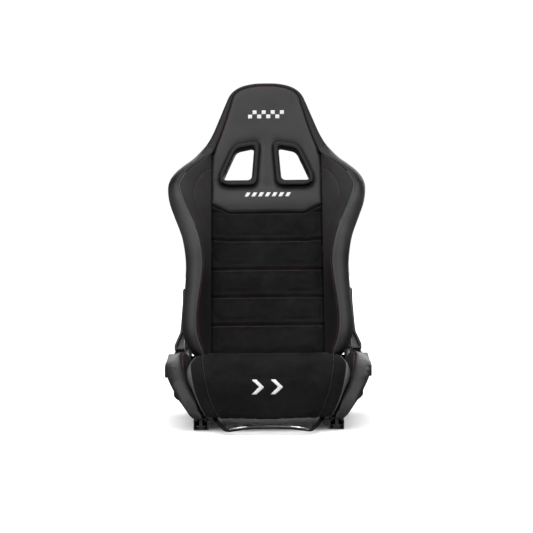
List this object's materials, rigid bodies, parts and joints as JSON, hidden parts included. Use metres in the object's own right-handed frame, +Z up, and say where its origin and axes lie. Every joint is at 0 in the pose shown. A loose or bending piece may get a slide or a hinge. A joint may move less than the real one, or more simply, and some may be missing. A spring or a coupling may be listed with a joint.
{
  "type": "reclining racing seat",
  "caption": "Reclining bucket seat with harness openings, side bolsters, recline levers on both sides and slide rails with a front release bar.",
  "frame": {"origin": "centre of the floor bolt pattern, on the underside of the lower rails", "axes": "+X to the viewer's right when facing the seat, -Y out of the seat's front, +Z up"},
  "size_m": [0.554, 0.7408, 0.9376],
  "materials": {
    "rail_paint": "satin",
    "frame_paint": "satin",
    "latch_steel": "satin",
    "zinc_steel": "satin",
    "gusset_grey": "satin",
    "bar_gloss": "gloss",
    "moulded_black": "matte",
    "glide_polymer": "matte",
    "bumper_rubber": "matte",
    "pu_leather": "satin",
    "black_suede": "matte",
    "elastic_webbing": "matte"
  },
  "bodies": {
    "lower_rails": {"lower_rail_left": "rail_paint", "lower_rail_right": "rail_paint", "latch_rack_left": "latch_steel", "latch_rack_right": "latch_steel", "rail_bumpers": "bumper_rubber"},
    "backrest": {"recliner_arm_left": "frame_paint", "recliner_arm_right": "frame_paint", "recliner_cover_left": "moulded_black", "recliner_cover_right": "moulded_black", "recliner_gusset_left": "gusset_grey", "recliner_gusset_right": "gusset_grey", "back_side_tube_left": "frame_paint", "back_side_tube_right": "frame_paint", "back_top_hoop": "frame_paint", "back_lower_tube": "frame_paint", "back_middle_tube": "frame_paint", "lumbar_straps": "elastic_webbing", "back_shell": "pu_leather", "centre_pad": "black_suede", "head_pad": "pu_leather", "back_bolster_left": "pu_leather", "back_bolster_right": "pu_leather", "harness_bezel_left": "moulded_black", "harness_bezel_right": "moulded_black"},
    "recline_release": {"release_shaft": "zinc_steel", "recline_lever_left": "moulded_black", "recline_lever_right": "moulded_black", "lever_screws": "zinc_steel"},
    "slide_release": {"release_bar": "bar_gloss", "release_hubs": "latch_steel", "latch_pawls": "latch_steel"},
    "seat_base": {"upper_rail_left": "rail_paint", "upper_rail_right": "rail_paint", "rail_glides": "glide_polymer", "side_frame_left": "frame_paint", "side_frame_right": "frame_paint", "frame_bolts": "zinc_steel", "front_cross_tube": "frame_paint", "rear_cross_tube": "frame_paint", "seat_pan": "frame_paint", "seat_cushion": "black_suede", "front_roll": "black_suede", "base_bolster_left": "pu_leather", "base_bolster_right": "pu_leather", "recliner_plate_left": "frame_paint", "recliner_plate_right": "frame_paint", "recliner_disc_left": "latch_steel", "recliner_disc_right": "latch_steel", "recliner_spindle_left": "zinc_steel", "recliner_spindle_right": "zinc_steel", "spindle_clips": "zinc_steel", "side_cover_left": "moulded_black", "side_cover_right": "moulded_black", "release_pin_left": "zinc_steel", "release_pin_right": "zinc_steel", "release_springs": "zinc_steel"}
  },
  "joints": [
    {"name": "seat_slide", "type": "slide", "parent": "lower_rails", "child": "seat_base", "axis": [0, -1, 0], "range_m": [-0.1, 0.1]},
    {"name": "recline", "type": "hinge", "parent": "seat_base", "child": "backrest", "pos_m": [0, 0.19, 0.15], "axis": [-1, 0, 0], "range_deg": [-10, 55]},
    {"name": "recline_release", "type": "hinge", "parent": "seat_base", "child": "recline_release", "pos_m": [0, 0.19, 0.15], "axis": [-1, 0, 0], "range_deg": [0, 25], "stiffness_Nm_per_rad": 6, "springref_deg": -5.73},
    {"name": "slide_release", "type": "hinge", "parent": "seat_base", "child": "slide_release", "pos_m": [0, -0.18, 0.031], "axis": [-1, 0, 0], "range_deg": [0, 5], "stiffness_Nm_per_rad": 12, "springref_deg": -8.59}
  ]
}
